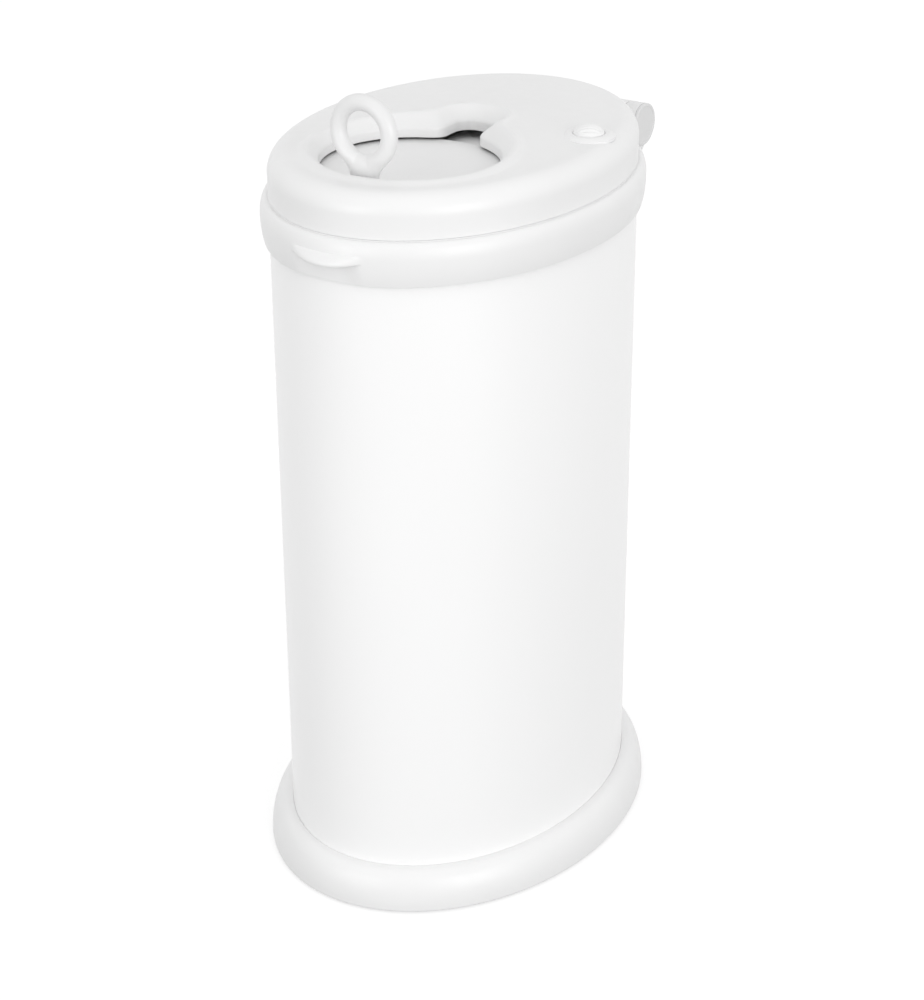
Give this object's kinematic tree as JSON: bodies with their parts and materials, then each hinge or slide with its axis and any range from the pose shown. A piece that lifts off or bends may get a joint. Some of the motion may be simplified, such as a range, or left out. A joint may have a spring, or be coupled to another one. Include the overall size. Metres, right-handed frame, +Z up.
{
  "type": "nappy bin",
  "caption": "Tall oval steel-bodied nappy bin with a flared moulded base, a hinged domed lid, a sliding door worked by an upright ring, and a round child-lock knob.",
  "frame": {"origin": "on the floor, under the middle of the oval base", "axes": "+Z up, -Y towards the front with the ring and the finger lip, +Y towards the hinge, +X to the right seen from the front"},
  "size_m": [0.28, 0.368, 0.6302],
  "materials": {
    "moulded_white": "white moulded plastic with a soft sheen",
    "painted_steel": "smooth white powder coat on sheet steel",
    "inner_plastic": "plain off-white moulded plastic",
    "soft_seal": "soft grey seal rubber",
    "pad_rubber": "matt grey rubber",
    "bright_steel": "bright zinc-plated steel",
    "slip_plastic": "waxy slide plastic"
  },
  "bodies": {
    "pail": {"base_ring": "moulded_white", "foot_pad_1": "pad_rubber", "foot_pad_2": "pad_rubber", "foot_pad_3": "pad_rubber", "foot_pad_4": "pad_rubber", "floor_pan": "inner_plastic", "body_shell": "painted_steel", "collar": "moulded_white", "collar_screw_1": "bright_steel", "collar_screw_2": "bright_steel", "collar_screw_3": "bright_steel", "collar_screw_4": "bright_steel", "bag_frame": "inner_plastic", "hinge_pin": "bright_steel", "hinge_cap_left": "moulded_white", "hinge_cap_right": "moulded_white"},
    "lid": {"lid_shell": "moulded_white", "lid_tray": "inner_plastic", "notch_floor": "inner_plastic", "tray_screw_1": "bright_steel", "tray_screw_2": "bright_steel", "tray_screw_3": "bright_steel", "tray_screw_4": "bright_steel", "tray_screw_5": "bright_steel", "rim_seal": "soft_seal", "door_seal": "soft_seal", "guide_rail_left": "slip_plastic", "guide_rail_right": "slip_plastic", "lock_bezel": "moulded_white"},
    "door": {"sliding_door": "moulded_white", "ring_handle": "moulded_white", "handle_screw_1": "bright_steel", "handle_screw_2": "bright_steel", "door_glide_left": "slip_plastic", "door_glide_right": "slip_plastic"},
    "lock": {"lock_knob": "moulded_white", "lock_spindle": "bright_steel", "lock_washer": "bright_steel", "lock_lever": "inner_plastic", "lock_screw": "bright_steel"}
  },
  "joints": [
    {"name": "lid_hinge", "type": "hinge", "parent": "pail", "child": "lid", "pos_m": [0, 0.163, 0.5455], "axis": [-1, 0, 0], "range_deg": [0, 95]},
    {"name": "door_slide", "type": "slide", "parent": "lid", "child": "door", "axis": [0, 1, 0], "range_m": [0, 0.138]},
    {"name": "lock_turn", "type": "hinge", "parent": "lid", "child": "lock", "pos_m": [0.092, 0.033, 0.568], "axis": [0, 0, -1], "range_deg": [0, 48]}
  ]
}
